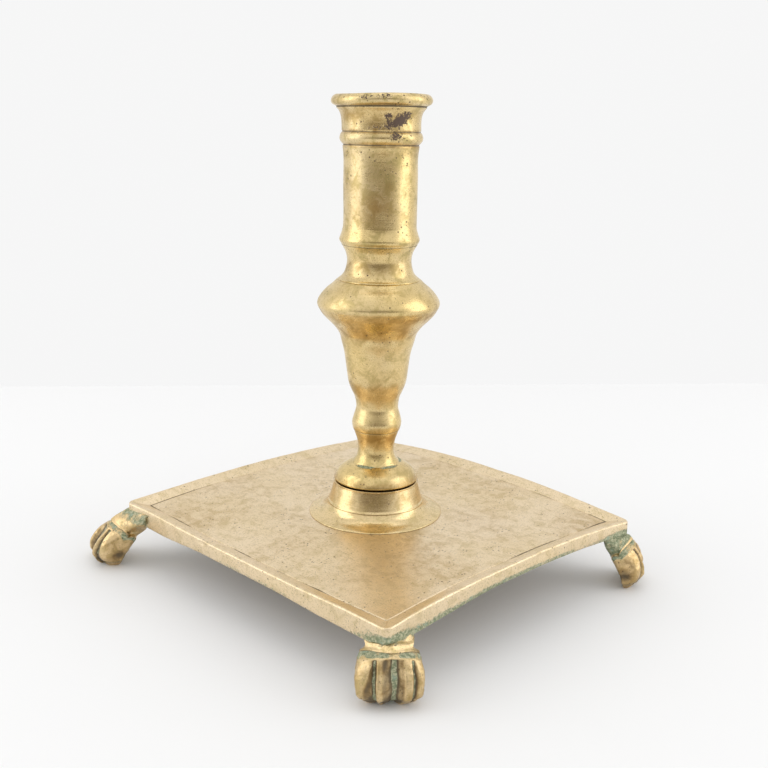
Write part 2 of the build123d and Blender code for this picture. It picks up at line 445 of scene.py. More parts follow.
def socket_profile():
    tenon, tenon_low = 5.9, SOCKET_SEAT - 7.9
    return outline(
        0.4,
        [(0, tenon_low), (tenon, tenon_low)],
        [(tenon, tenon_low), (tenon, SOCKET_SEAT + 0.02)],
        [(tenon, SOCKET_SEAT + 0.02), (16.35, SOCKET_SEAT + 0.02)],
        [(16.35, SOCKET_SEAT + 0.02), (16.2, 125.2), (15.1, 126.1), (13.6, 128.2), (12.75, 132.3),
         (13.3, 135.6), (14.6, 138.0), (14.95, 138.5)],
        [(14.95, 138.5), (15.05, 138.9)],
        [(15.05, 138.9), (15.75, 140.1), (15.85, 141.0), (15.2, 142.8), (14.6, 145.0), (14.45, 147.5),
         (14.45, 160.0), (14.5, 172.0), (14.85, 176.4)],
        [(14.85, 176.4), (14.55, 176.85), (15.0, 177.3)],
        [(15.0, 177.3), (15.85, 178.4), (16.1, 179.5), (15.85, 180.7), (15.45, 181.4)],
        [(15.45, 181.4), (15.05, 181.8), (15.35, 182.2)],
        [(15.35, 182.2), (15.35, 185.3), (15.6, 187.6), (16.15, 189.2), (17.3, 190.8)],
        [(17.3, 190.8), (17.15, 191.2), (17.5, 191.5)],
        [(17.5, 191.5), (18.9, 192.4), (19.3, 193.8), (18.6, 195.2), (17.2, LIP_TOP), (15.9, LIP_TOP - 0.5),
         (14.2, 193.6), (12.4, 191.0), (11.6, 188.6), (11.5, 186.0), (11.5, 139.2)],
        [(11.5, 139.2), (11.2, 138.6), (10.2, 138.5), (0, 138.4)],
    )


def stem_profile():
    return outline(
        0.45,
        [(0, SOCKET_SEAT - 8.3), (6.05, SOCKET_SEAT - 8.3)],
        [(6.05, SOCKET_SEAT - 8.3), (6.05, SOCKET_SEAT)],
        [(6.05, SOCKET_SEAT), (16.4, SOCKET_SEAT)],
        [(16.4, SOCKET_SEAT), (16.9, SOCKET_SEAT - 0.15)],
        [(16.9, SOCKET_SEAT - 0.15), (18.7, 122.9), (20.8, 121.2), (22.8, 119.0), (24.1, 117.0),
         (24.5, 115.4), (24.2, 114.1)],
        [(24.2, 114.1), (22.7, 111.6), (21.2, 109.9), (18.0, 106.7), (15.7, 103.4), (14.7, 100.0),
         (13.4, 95.2), (12.5, 88.5), (11.75, 83.5), (10.6, 80.1), (9.2, 76.8), (8.6, 73.4),
         (8.7, 71.7), (9.4, 69.1), (10.0, 66.6), (9.9, 64.8), (9.5, 63.3)],
        [(9.5, 63.3), (9.2, 63.1), (9.15, 62.7)],
        [(9.15, 62.7), (8.5, 60.9), (7.75, 58.5), (7.4, 56.0), (7.5, 53.6), (8.2, 51.3), (9.5, 49.6)],
        [(9.5, 49.6), (9.7, 49.2), (10.3, 49.1)],
        [(10.3, 49.1), (12.4, 48.2), (15.2, 46.3), (16.7, 44.2), (17.25, 42.7), (17.15, 42.2)],
        [(17.15, 42.2), (17.0, COLLAR_TOP + 0.25), (16.0, COLLAR_TOP + 0.02)],
        [(16.0, COLLAR_TOP + 0.02), (5.0, COLLAR_TOP + 0.02)],
        [(5.0, COLLAR_TOP + 0.02), (5.0, TANG_BOTTOM + 0.8), (4.4, TANG_BOTTOM), (0, TANG_BOTTOM)],
    )


def field_height(x, y):
    """The plate's slightly domed field."""
    return FIELD_TOP - (x * x + y * y) / (2 * DOME_RADIUS)


def collar_profile():
    edge, under = 27.5, field_height(27.5, 0) - 0.05
    return outline(
        0.35,
        [(TANG_BORE, FIELD_TOP - 0.05), (edge, under)],
        [(edge, under), (edge, under + 0.35)],
        [(edge, under + 0.35), (26.9, under + 0.6), (25.4, 28.45), (23.4, 28.95), (21.6, 29.9), (20.3, 31.3),
         (19.75, 32.4)],
        [(19.75, 32.4), (19.8, 32.75)],
        [(19.8, 32.75), (19.3, 33.3)],
        [(19.3, 33.3), (18.3, 36.6), (17.2, 40.9)],
        [(17.2, 40.9), (17.0, 41.25), (10.2, 41.3)],
        [(10.2, 41.3), (10.0, COLLAR_TOP - 0.02)],
        [(10.0, COLLAR_TOP - 0.02), (TANG_BORE, COLLAR_TOP - 0.02)],
        [(TANG_BORE, COLLAR_TOP - 0.02), (TANG_BORE, FIELD_TOP - 0.05)],
    )


def weather_turned(grooves, browns=(), greens=(), blacks=(), patches=()):
    """Attributes of a turned piece: dirt lies in the grooves, tarnish and verdigris where listed.

    grooves, browns and greens are bands, for band_sum. blacks, and patches of brown, are for patch_sum.
    """
    def weather(points, radius, angle):
        z = points[:, 2]
        return {
            "grime": band_sum(z, grooves),
            "warm": np.clip(band_sum(z, browns) + 0.12 * ripple(points, 22.0, 5)
                            + patch_sum(z, angle, patches), 0, 1),
            "green": band_sum(z, greens) * smooth_step(ripple(points, 9.0, 3), -0.9, 0.5),
            "black": patch_sum(z, angle, blacks),
        }
    return weather


def band_sum(z, bands):
    """Soft bands all the way round at (height, half width, strength)."""
    total = np.zeros(len(z))
    for height, width, strength in bands:
        total += strength * bell(z, height, width)
    return total


def patch_sum(z, angle, patches):
    """Soft patches at (height, half width, strength, heading in degrees, its width)."""
    total = np.zeros(len(z))
    for height, width, strength, heading, spread in patches:
        turn = np.degrees(np.angle(np.exp(1j * (angle - math.radians(heading)))))
        total += strength * bell(z, height, width) * bell(turn, 0, spread)
    return total


def shape_socket(points, radius, angle):
    """The lip was rolled by hand: it dips and bulges a little. The barrel keeps faint flats."""
    z = points[:, 2]
    lip = smooth_step(z, 189.0, 193.0)
    moved = points.copy()
    around = np.stack([np.cos(angle), np.sin(angle)], axis=1)
    swell = 0.10 * ripple(points, 16.0, 7)
    swell += lip * (0.22 * np.sin(2 * angle + 0.6) + 0.12 * np.sin(3 * angle))
    swell *= smooth_step(radius, 12.5, 15.0) * smooth_step(z, SOCKET_SEAT, SOCKET_SEAT + 3)
    moved[:, :2] += around * swell[:, None]
    dip = 0.25 + 0.25 * np.sin(angle - 2.2) + 0.1 * np.sin(3 * angle)
    moved[:, 2] -= lip * smooth_step(radius, 12.0, 15.0) * dip
    return moved


def shape_stem(points, radius, angle):
    """Faint unevenness above the collar, and a real helical thread on the tang's lower end."""
    z = points[:, 2]
    free = smooth_step(z, COLLAR_TOP + 0.3, COLLAR_TOP + 2) * smooth_step(SOCKET_SEAT - z, 0.3, 3)
    swell = 0.10 * ripple(points, 18.0, 9) * free * smooth_step(radius, 6.2, 7.4)
    moved = points.copy()
    moved[:, :2] += np.stack([np.cos(angle), np.sin(angle)], axis=1) * swell[:, None]
    threaded = (z < THREAD_TOP) & (z > TANG_BOTTOM + 0.9) & (radius > 4.5) & (radius < 5.01)
    depth = 0.25 * (1 - np.cos(2 * math.pi * (z / THREAD_PITCH + angle / (2 * math.pi))))
    scale = np.where(threaded, (radius - depth) / np.maximum(radius, 1e-6), 1.0)
    moved[:, :2] *= scale[:, None]
    return moved


# the dirt, brown and tarnish of the socket, as band_sum and patch_sum take them
SOCKET_GROOVES = [(176.85, 0.3, 0.75), (181.8, 0.28, 0.7), (191.2, 0.4, 0.9), (138.7, 0.25, 0.6),
                  (SOCKET_SEAT, 0.25, 0.3)]
SOCKET_BROWNS = [(188, 3, 0.45), (176.8, 0.9, 0.8), (181.8, 0.9, 0.8), (131, 3, 0.35), (173.7, 1.6, 0.25)]
SOCKET_PATCHES = [(154.0, 6.5, 0.75, -48.0, 22.0), (162.0, 2.2, 0.4, -30.0, 9.0),
                  (173.7, 1.5, 0.5, -42.0, 9.0), (184.0, 2.2, 0.6, -49.0, 16.0)]
SOCKET_BLACKS = [
    (187.6, 1.3, 0.62, -36.0, 6.0), (184.6, 1.6, 0.53, -28.0, 17.0), (187.8, 2.6, 0.50, -9.0, 17.0),
    (183.4, 1.4, 0.44, -56.0, 17.0), (180.2, 2.6, 0.54, -24.0, 17.0), (186.0, 1.6, 0.50, -18.0, 9.0),
    (194.4, 1.6, 0.44, -64.0, 16.0), (194.8, 1.2, 0.44, -36.0, 14.0),
]
STEM_GROOVES = [(SOCKET_SEAT, 0.25, 0.3), (63.0, 0.35, 0.45), (113.6, 0.5, 0.35), (41.8, 0.3, 0.6)]
STEM_BROWNS = [(105, 5, 0.6), (80, 5, 0.55), (60.5, 4, 0.7), (43.6, 1.4, 0.6), (112.0, 2.0, 0.5)]
STEM_GREENS = [(49.2, 0.55, 0.75)]
COLLAR_GROOVES = [(32.5, 0.25, 0.5), (27.6, 0.22, 0.5)]
COLLAR_BROWNS = [(37, 3, 0.3), (40.6, 0.8, 0.5)]
COLLAR_BLACKS = [(36.4, 0.9, 0.5, -28.0, 3.0)]
LATHE_MARKS = (40.0, 1700.0, 1.0)
SOCKET_COLUMNS, STEM_COLUMNS, COLLAR_COLUMNS = 176, 160, 224
COLLAR_GOLD = colour(0.82, 0.63, 0.34)


def make_socket():
    material = brass("socket_brass", GOLD, (0.18, 0.36), LATHE_MARKS, 0.05, speckle=1.0, stain=0.8)
    weather = weather_turned(SOCKET_GROOVES, SOCKET_BROWNS, blacks=SOCKET_BLACKS, patches=SOCKET_PATCHES)
    turned("candle_socket_turning", socket_profile(), SOCKET_COLUMNS, "stem",
           ["candle_socket"], material, weather, shape_socket)


def make_stem():
    material = brass("turned_brass", GOLD, (0.19, 0.36), LATHE_MARKS, 0.045, speckle=0.8)
    weather = weather_turned(STEM_GROOVES, STEM_BROWNS, greens=STEM_GREENS)
    turned("stem_casting", stem_profile(), STEM_COLUMNS, "stem", ["stem"], material, weather,
           shape_stem)


def make_collar():
    material = brass("collar_brass", COLLAR_GOLD, (0.14, 0.28), LATHE_MARKS, 0.02, stain=0.4)
    weather = weather_turned(COLLAR_GROOVES, COLLAR_BROWNS, blacks=COLLAR_BLACKS)
    turned("collar_turning", collar_profile(), COLLAR_COLUMNS, "base", ["stem_collar"],
           material, weather)


# ------------------------------------------------------------------ plate


PER_SIDE, PER_CORNER = 84, 12       # points along each side and round each corner of the plate's plan


def perimeter(inset):
    """Points round the plate's plan, drawn in by the inset: the same count at every inset."""
    a, b = HALF_LENGTH - inset, HALF_WIDTH - inset
    r = max(CORNER_RADIUS - inset, 0.6)
    out = []
    corners = [(1, 1), (-1, 1), (-1, -1), (1, -1)]
    for k, (sx, sy) in enumerate(corners):
        centre = np.array([sx * (a - r), sy * (b - r)])
        start = k * math.pi / 2
        for t in np.linspace(0, 1, PER_CORNER):
            bearing = start + t * math.pi / 2
            out.append(centre + r * np.array([math.cos(bearing), math.sin(bearing)]))
        nx, ny = corners[(k + 1) % 4]
        bearing = start + math.pi / 2
        after = np.array([nx * (a - r), ny * (b - r)]) + r * np.array([math.cos(bearing), math.sin(bearing)])
        before = out[-1]
        for t in np.arange(1, PER_SIDE) / PER_SIDE:
            out.append(before + (after - before) * t)
    return np.array(out)


# inset from the outer edge, height above the field: the rim is a slope that rises to an arris at the edge
RIM_STRETCHES = [
    [(9.0, 0.0), (7.6, 0.0), (6.75, -0.02)],
    [(6.75, -0.02), (6.5, -0.24), (6.2, -0.02)],
    [(6.2, -0.02), (5.0, 0.42), (3.0, 1.18), (1.5, 1.72), (0.7, 1.9)],
    [(0.7, 1.9), (0.3, 1.82), (0.06, 1.45)],
    [(0.06, 1.45), (0.0, 0.0), (0.0, -3.2)],
    [(0.0, -3.2), (0.12, -3.75), (0.55, -4.05), (1.3, -4.0), (2.6, -3.5), (4.2, -3.3)],
]

# how far each edge stands off the even dome at its middle
EDGE_SAG = {(0, -1): -2.9, (0, 1): 3.6, (1, 0): 1.7, (-1, 0): 1.7}
# how much deeper the outer faces run near each corner
CORNER_SKIRT = {(1, -1): 1.7, (-1, -1): 1.8, (1, 1): 0.1, (-1, 1): 0.9}


def plate_warp(x, y):
    """The plate was hammered out: each edge bows its own way, but not under the collar or at the feet."""
    total = np.zeros(len(x))
    for (sx, sy), sag in EDGE_SAG.items():
        across = (sx * x) / HALF_LENGTH + (sy * y) / HALF_WIDTH
        along = y / HALF_WIDTH if sx else x / HALF_LENGTH
        total += sag * smooth_step(across, 0.36, 1.0) * np.clip(1 - along**2, 0, 1)
    return total


FIELD_RINGS, UNDER_RINGS = 44, 26


def plate_rings():
    """Closed rings of (x, y, lift above the field): out over the field and the rim, back underneath."""
    rim = outline(0.28, *RIM_STRETCHES)
    field_edge = perimeter(rim[0][0])
    under_edge = perimeter(rim[-1][0])
    heading = field_edge / np.linalg.norm(field_edge, axis=1)[:, None]
    rings = []

    def ring(edge, share, lift):
        """A ring at this share of the way from the bore to the edge."""
        xy = heading * TANG_BORE * (1 - share) + edge * share
        rings.append(np.column_stack([xy, np.full(len(xy), lift)]))

    for share in np.linspace(0, 1, FIELD_RINGS)[:-1]:
        ring(field_edge, share, 0.0)
    for inset, lift in rim:
        ring(perimeter(inset), 1.0, lift)
    for share in np.linspace(1, 0, UNDER_RINGS)[1:]:
        ring(under_edge, share, -PLATE_THICKNESS)
    return rings


def plate_height(flat, edge_inset):
    """The plate's height: the dome, the rim, the warp, and outer faces that deepen near the feet."""
    x, y, lift = flat.T
    skirt = smooth_step(-lift, 0.8, PLATE_THICKNESS) * smooth_step(edge_inset, 9.0, 3.0)
    skirt *= 1 - corner_share(x, y, 10.0, 2.0)
    deeper = np.zeros(len(x))
    for (sx, sy), depth in CORNER_SKIRT.items():
        deeper += depth * (np.sign(x) == sx) * (np.sign(y) == sy)
    z = field_height(x, y) + lift - skirt * deeper * corner_share(x, y, 62.0, 18.0)
    level = flat * [1, 1, 0]
    warp = 0.14 * ripple(level, 70.0, 21) + 0.06 * ripple(level, 24.0, 22)
    reach = np.hypot(x, y)
    away = smooth_step(reach, 28.0, 40.0) * smooth_step(CORNER_REACH - reach, 2.0, 14.0)
    return z + (warp * away + plate_warp(x, y))


def file_edge(flat, edge_inset):
    """Moves x and y: the outer edge was filed by hand and is not quite straight, its corners stand out."""
    x, y, _ = flat.T
    wander = 0.22 * ripple(flat, 34.0, 23) - 0.14 + 0.05 * ripple(flat, 5.0, 24)
    wander += 0.05 * ripple(flat * [1.0, 1.0, 0.6], 1.6, 25) * corner_share(x, y, 18.0, 5.0)
    wander *= smooth_step(edge_inset, 2.5, 0.5) * (1 - corner_share(x, y))
    on_short_side = HALF_LENGTH - np.abs(x) < HALF_WIDTH - np.abs(y)
    x = x + np.sign(x) * on_short_side * wander
    y = y + np.sign(y) * ~on_short_side * wander
    reach = 1.0 + 1.1 * corner_share(x, y, 16.0, 1.0) * outer_share(edge_inset) / CORNER_REACH
    return x * reach, y * reach


def weather_plate(points, flat, edge_inset):
    """Dirt in the rim's foot, dirt and painted shade underneath, verdigris low on the outer faces and by the
    feet.
    """
    x, y, lift = flat.T
    corner = corner_share(x, y)
    groove = bell(edge_inset, 6.5, 0.4) * (lift > -1)
    side = smooth_step(-lift, 0.0, 1.0) * smooth_step(edge_inset, 2.5, 0.5)
    low = smooth_step(-lift, 0.6, 3.2) * smooth_step(edge_inset, 4.0, 0.3)
    under = (lift < -2) * smooth_step(edge_inset, 1.0, 4.0)
    patchy = ripple(points, 26.0, 31)
    return {
        # underneath, dirt and painted shade: the underside is darkened so that it throws little warm light
        # into the shadow on the floor
        "grime": groove * np.clip(0.3 + 0.45 * patchy + 0.35 * corner, 0, 0.8) + 0.10 * side + 0.60 * under,
        "green": low * (0.36 + 0.16 * patchy + 0.30 * (x > HALF_LENGTH - 3))
                 + 0.34 * side * corner_share(x, y, 18.0, 5.0) + 0.12 * side * corner,
        "warm": np.clip(0.10 + 0.16 * ripple(points, 40.0, 32), 0, 1) * (lift > -1) * (edge_inset > 6.5),
        "black": np.zeros(len(points)),
        "skin": plate_skin(points, edge_inset) * MM,
    }


def make_plate():
    rings = plate_rings()
    flat = np.vstack(rings)
    edge_inset = np.minimum(HALF_LENGTH - np.abs(flat[:, 0]), HALF_WIDTH - np.abs(flat[:, 1]))
    x, y = file_edge(flat, edge_inset)
    points = dent_plate(np.column_stack([x, y, plate_height(flat, edge_inset)]))
    count = len(rings[0])
    last = (len(rings) - 1) * count
    faces = grid_faces(len(rings), count)
    faces += [(last + j, last + (j + 1) % count, (j + 1) % count, j) for j in range(count)]
    material = brass("plate_brass", PLATE_TAN, (0.27, 0.42), (160.0, 1400.0, 1.0), 0.03, speckle=0.9,
                     stain=0.3)
    make_piece("plate_casting", points, faces, "base", ["base_plate"], material,
               weather_plate(points, flat, edge_inset))


def corner_share(x, y, far=26.0, near=6.0):
    """1 at the plate's corners, falling to 0 so many millimetres along the sides."""
    dx, dy = HALF_LENGTH - np.abs(x), HALF_WIDTH - np.abs(y)
    return smooth_step(np.maximum(dx, dy), far, near)


def outer_share(edge_inset):
    """1 at the plate's outer edge, falling to 0 at the foot of the rim."""
    return smooth_step(edge_inset, 7.0, 1.0)


def dent_plate(points):
    """Single dents: where, how wide, how deep, all in millimetres."""
    corner = np.array([HALF_LENGTH, -HALF_WIDTH])
    dents = [
        ((corner[0] - 1.6, corner[1] + 2.2, 27.0), 1.3, 0.7),
        ((-24.5, -HALF_WIDTH, 24.2), 1.0, 0.9),
        ((31.0, -HALF_WIDTH, 28.0), 1.8, 0.35),
        ((HALF_LENGTH, 12.0, 28.0), 2.2, 0.4),
    ]
    centre = np.array([0.0, 0.0, 25.0])
    for where, width, depth in dents:
        distance = np.linalg.norm(points - np.array(where), axis=1)
        inward = centre - np.array(where)
        inward /= np.linalg.norm(inward)
        points = points + inward * (depth * bell(distance, 0, width))[:, None]
    return points


def plate_skin(points, edge_inset):
    """Coordinates for the tool marks: brushed along X on the field, filed at a slant on the outer faces."""
    x, y, z = points.T
    side = edge_inset < 0.6
    long_side = HALF_WIDTH - np.abs(y) < HALF_LENGTH - np.abs(x)
    along = np.where(long_side, x, y)
    slant = 0.9
    u = np.where(side, (along * slant + z) * 4.0, x)
    v = np.where(side, (along - z * slant) * 0.8, y)
    return np.column_stack([u, v, np.zeros(len(u))])


# ------------------------------------------------------------------ feet

# height, back and front of an upright foot along its diagonal
FOOT_PROFILE = np.array([
    (25.0, 92.8, 104.2),
    (23.4, 93.1, 104.8),
    (22.0, 93.4, 105.2),
    (20.6, 93.9, 105.9),
    (18.6, 94.6, 107.5),
    (15.0, 96.2, 109.6),
    (11.0, 98.4, 111.3),
    (7.5, 100.3, 112.0),
    (4.8, 101.6, 111.6),
    (2.4, 102.4, 109.7),
    (0.9, 102.8, 107.6),
    (0.0, 103.2, 105.9),
])
# height, half width, and how the front half rounds off: 2 faceted, 1 round, under 1 boxy
FOOT_WIDTHS = np.array([
    (25.0, 10.4, 2.0),
    (23.4, 9.4, 2.0),
    (22.0, 8.4, 2.0),
    (20.6, 8.0, 1.95),
    (19.6, 8.7, 1.9),
    (18.9, 10.2, 1.7),
    (18.1, 10.6, 1.3),
    (17.0, 10.8, 1.1),
    (14.5, 11.5, 0.86),
    (10.5, 11.9, 0.78),
    (6.5, 11.7, 0.78),
    (3.6, 10.8, 0.80),
    (1.4, 9.2, 0.84),
    (0.0, 7.6, 0.9),
])
FOOT_TOP = 24.5
HEM_HEIGHT = 21.1           # the lower edge of the plate's outer faces at its corners
TUCK = 1.6
BAND_HEIGHT = 18.6
FOOT_ROWS, FOOT_COLUMNS = 150, 190
CARVING_HALF_WIDTH = 11.9   # the half width of the paw that the toes are drawn on
CLAWS = (-8.8, -2.6, 4.4, 9.8)      # the middle of each toe, across the paw
# how far each foot is splayed at the floor beyond the upright, how far its toes stand out there, and its tilt
FOOT_STANCE = {
    "foot_front": (0.0, 0.0, 0.46),
    "foot_right": (1.8, 1.6, 0.60),
    "foot_back": (2.6, 1.0, 0.50),
    "foot_left": (11.0, 0.6, 0.60),
}
# how far its front stands out and its back lies in, the depth of its rounded front, its twist in degrees and
# its shift sideways
FOOT_BUILD = {
    "foot_front": (0.0, 0.0, 5.4, 0.0, 1.3),
    "foot_right": (0.0, 0.0, 7.5, -8.0, 0.0),
    "foot_back": (0.0, 0.5, 6.0, 4.0, 0.0),
    "foot_left": (1.3, 2.4, 8.6, 27.0, 0.0),
}
FOOT_CORNER = {"foot_front": (1, -1), "foot_right": (1, 1), "foot_back": (-1, 1), "foot_left": (-1, -1)}
ANKLE_VERDIGRIS = {"foot_front": 0.46, "foot_right": 1.0, "foot_back": 0.6, "foot_left": 0.46}


def smooth_table(table, column, height):
    """One column of a table of sections at these heights, smoothly."""
    order = np.argsort(table[:, 0])
    xs, ys = table[order, 0], table[order, column]
    height = np.clip(height, xs[0], xs[-1])
    slopes = np.gradient(ys, xs)
    i = np.clip(np.searchsorted(xs, height) - 1, 0, len(xs) - 2)
    h = xs[i + 1] - xs[i]
    t = (height - xs[i]) / h
    return ((2 * t**3 - 3 * t**2 + 1) * ys[i] + (t**3 - 2 * t**2 + t) * h * slopes[i]
            + (-2 * t**3 + 3 * t**2) * ys[i + 1] + (t**3 - t**2) * h * slopes[i + 1])


def toe_cuts(y, down):
    """Depth of the carving across the paw, and how near each point is to a groove's floor.

    down runs from 0 under the band to 1 at the floor. Each toe is a ridge with a flat on its inner side.
    """
    first = -6.6 - 4.6 * smooth_step(down, 0.05, 0.8)
    knots = [
        (first, 0.0), (-6.6, 1.7), (-5.9, 2.3), (-5.2, 2.0), (-4.6, 0.1), (-3.8, 0.0), (-0.4, 1.8),
        (0.4, 2.7), (2.6, 2.7), (3.3, 1.9), (5.2, 0.05), (7.5, 0.0), (8.2, 1.5), (8.8, 1.5), (9.5, 0.15),
        (12.5, 0.0),
    ]
    depth = np.zeros(len(y))
    for (left, a), (right, b) in zip(knots, knots[1:]):
        t = (y - left) / (right - left)
        inside = (t >= 0) & (t < 1)
        depth = np.where(inside, a + (b - a) * np.clip(t, 0, 1), depth)
    floor = np.maximum(np.maximum(bell(y, -5.8, 0.8), bell(y, 1.5, 1.7)), 0.8 * bell(y, 8.5, 0.65))
    return depth, floor


def plain_foot(node):
    """The foot before it is carved. x runs out along the plate's diagonal, y across it and z up."""
    _, toes_out, tilt = FOOT_STANCE[node]
    stand_out, lie_in, round_depth, _, _ = FOOT_BUILD[node]
    z = np.repeat(np.linspace(FOOT_TOP, 0, FOOT_ROWS), FOOT_COLUMNS)
    theta = np.tile(np.linspace(-math.pi, math.pi, FOOT_COLUMNS, endpoint=False), FOOT_ROWS)
    back, front = (smooth_table(FOOT_PROFILE, k, z) for k in (1, 2))
    below_plate = smooth_step(z, 24.0, 20.0)
    front = front + toes_out * smooth_step(z, 4.0, 0.0) + stand_out * below_plate
    back = back - lie_in * below_plate
    cos, sin = np.cos(theta), np.sin(theta)
    ahead = cos > 0
    # the sections are square to the leaning leg, so the band and the toes start lower at the sides and back
    level = z + tilt * 0.5 * (front - back) * (1 - cos) * smooth_step(z, 1.0, 8.0) * below_plate
    half, power = (smooth_table(FOOT_WIDTHS, k, level) for k in (1, 2))
    # above the band it has the plate's corner: two flat facets that carry on the plate's outer faces
    sx, sy = FOOT_CORNER[node]
    facet_slope = np.where((sin > 0) == (sx * sy < 0), HALF_WIDTH / HALF_LENGTH, HALF_LENGTH / HALF_WIDTH)
    depth_ahead = facet_slope * half + (round_depth - facet_slope * half) * smooth_step(level, 20.4, 16.8)
    depth_ahead = np.minimum(depth_ahead, (front - back) * 0.9)
    centre = front - depth_ahead
    x = np.where(ahead, centre + depth_ahead * np.abs(cos) ** power,
                 centre - (centre - back) * np.abs(cos) ** 0.3)
    y = np.sign(sin) * half * np.abs(sin) ** np.where(ahead, power, 0.7)
    return SimpleNamespace(x=x, y=y, z=z, theta=theta, cos=cos, sin=sin, ahead=ahead, back=back, front=front,
                           centre=centre, half=half, level=level, below_plate=below_plate,
                           surface=np.column_stack([x, y, z]))


def carve_foot(foot, node, seed):
    """Works out how deep the foot is carved, and where its paw, toes, band, ankle and hollows lie."""
    mirror = -1 if node == "foot_left" else 1
    level, centre, back, y = foot.level, foot.centre, foot.back, foot.y
    foot.paw = paw = smooth_step(level, BAND_HEIGHT - 0.9, BAND_HEIGHT - 1.6)
    foot.fore = fore = smooth_step(foot.x, centre - 1.5, centre + 2.5) * foot.ahead
    down = np.clip((BAND_HEIGHT - level) / BAND_HEIGHT, 0, 1)
    foot.cut, floor = toe_cuts(mirror * y * CARVING_HALF_WIDTH / np.maximum(foot.half, 6.0), down)
    depth = foot.cut * paw * fore * (0.35 + 0.65 * smooth_step(down, 0.02, 0.3))
    foot.floor = floor * paw * fore
    # the ankle is tucked under the plate's outer faces and comes out below their edge
    hem = HEM_HEIGHT - CORNER_SKIRT[FOOT_CORNER[node]] * smooth_step(np.abs(y), 1.0, 8.0)
    depth += TUCK * smooth_step(foot.z, hem - 0.5, hem + 0.1) * max(0.0, 1 - FOOT_STANCE[node][0] / 5)
    # scratches and chips run down the toes
    depth += 0.10 * paw * fore * np.clip(ripple(foot.surface * [1.0, 1.0, 0.22], 1.5, seed + 4), 0, 1)
    depth += 0.30 * paw * np.clip(ripple(foot.surface, 3.0, seed + 5) - 0.75, 0, 1)
    # a nick under each toe's tip
    for toe in CLAWS:
        depth += 0.8 * bell(mirror * y, toe, 1.0) * bell(level, 2.6, 0.9) * fore
    # the paw's sides are hollowed
    hollow = 1.5 * bell(level, 9.0, 4.2) * bell(foot.x, 0.5 * (centre + back) + 1.0, 3.2)
    foot.hollow = hollow * (np.abs(y) > foot.half * 0.6)
    # the notched band, and the line above it
    strip = smooth_step(level, BAND_HEIGHT - 1.0, BAND_HEIGHT - 0.7)
    strip *= smooth_step(level, BAND_HEIGHT + 0.3, BAND_HEIGHT + 0.1)
    line = bell(level, BAND_HEIGHT + 0.2, 0.22)
    round_front = smooth_step(foot.x, back - 0.5, back + 2.0)
    nicks = 0.5 + 0.5 * np.sin(foot.theta * 26 + level * 2.5)
    depth += (0.45 * strip * (1 + 0.5 * nicks) + 0.5 * line) * round_front
    foot.band = strip * round_front
    foot.line = line * round_front
    foot.ankle = smooth_step(level, BAND_HEIGHT + 0.2, BAND_HEIGHT + 1.6)
    foot.depth = depth


def place_foot(foot, node, seed):
    """Pushes the carving in, splays and twists the foot, and turns it to its corner of the plate."""
    splay, shift = FOOT_STANCE[node][0], FOOT_BUILD[node][4]
    # the push moves the front outwards or in, the sides sideways
    norm_x = np.where(foot.ahead, np.abs(foot.cos), 0.0)
    norm_y = np.sign(foot.sin) * np.abs(foot.sin)
    length = np.maximum(np.hypot(norm_x, norm_y), 1e-6)
    lumps = 0.12 * ripple(foot.surface, 7.0, seed) + 0.06 * ripple(foot.surface, 2.4, seed + 1)
    x = foot.x + (lumps - foot.depth) * norm_x / length
    y = foot.y + (lumps - foot.depth * 0.6) * norm_y / length - np.sign(foot.y) * foot.hollow
    turn = np.radians(FOOT_BUILD[node][3]) * smooth_step(foot.z, 22.0, 15.0)
    middle = 0.5 * (foot.front + foot.back)
    x, y = (middle + (x - middle) * np.cos(turn) - y * np.sin(turn),
            y * np.cos(turn) + (x - middle) * np.sin(turn) + shift * foot.below_plate)
    x = x + splay * np.clip(1 - foot.z / FOOT_TOP, 0, 1) ** 0.58
    sx, sy = FOOT_CORNER[node]
    heading = math.atan2(sy * HALF_WIDTH, sx * HALF_LENGTH)
    c, s = math.cos(heading), math.sin(heading)
    return np.column_stack([x * c - y * s, x * s + y * c, foot.z])


def weather_foot(foot, node, seed):
    """Verdigris at the band, the ankle and the floors of the grooves; painted shade in brown and dirt on the
    toes' flats and in the paw's side hollows.
    """
    paw, level, line, floor = foot.paw, foot.level, foot.line, foot.floor
    dirty = ripple(foot.surface, 5.0, seed + 3)
    behind = smooth_step(-foot.cos, 0.1, 0.8)
    green = 0.80 * smooth_step(floor, 0.4, 0.9) + 0.3 * behind
    green += foot.band * (0.62 + 0.3 * smooth_step(dirty, -0.4, 0.5))
    green += ANKLE_VERDIGRIS[node] * foot.ankle * (0.75 + 0.25 * smooth_step(dirty, -0.6, 0.4))
    green += 0.22 * smooth_step(foot.z, 19.8, 21.2) + 0.26 * paw * smooth_step(dirty, 0.0, 0.9)
    # painted shade: the flat on each toe's inner side, and the hollows of the paw's sides, are darkened with
    # brown and dirt while the ridges stay bright
    toe_flat_shade = smooth_step(foot.cut, 0.15, 0.9) * paw * foot.fore * (1 - floor) * (0.92 + 0.15 * dirty)
    return {
        "grime": 0.5 * smooth_step(floor, 0.2, 0.7) + 0.65 * line + 0.3 * bell(level, 2.4, 1.2) + 0.42 * toe_flat_shade
                 + 0.14 * paw + 0.25 * behind + 0.36 * foot.hollow + 0.10 * paw * np.clip(dirty, 0, 1),
        "green": green * (0.9 + 0.12 * dirty),
        "warm": np.clip(0.9 * toe_flat_shade + 0.9 * foot.hollow + 0.25 * paw + 0.2 * dirty * paw, 0, 1),
        "black": 0.32 * behind + 0.42 * bell(level, 2.2, 1.3) * smooth_step(dirty, 0, 0.8) + 0.4 * line,
        "skin": np.column_stack([foot.theta * foot.half, foot.z, np.zeros(len(foot.z))]) * MM,
    }


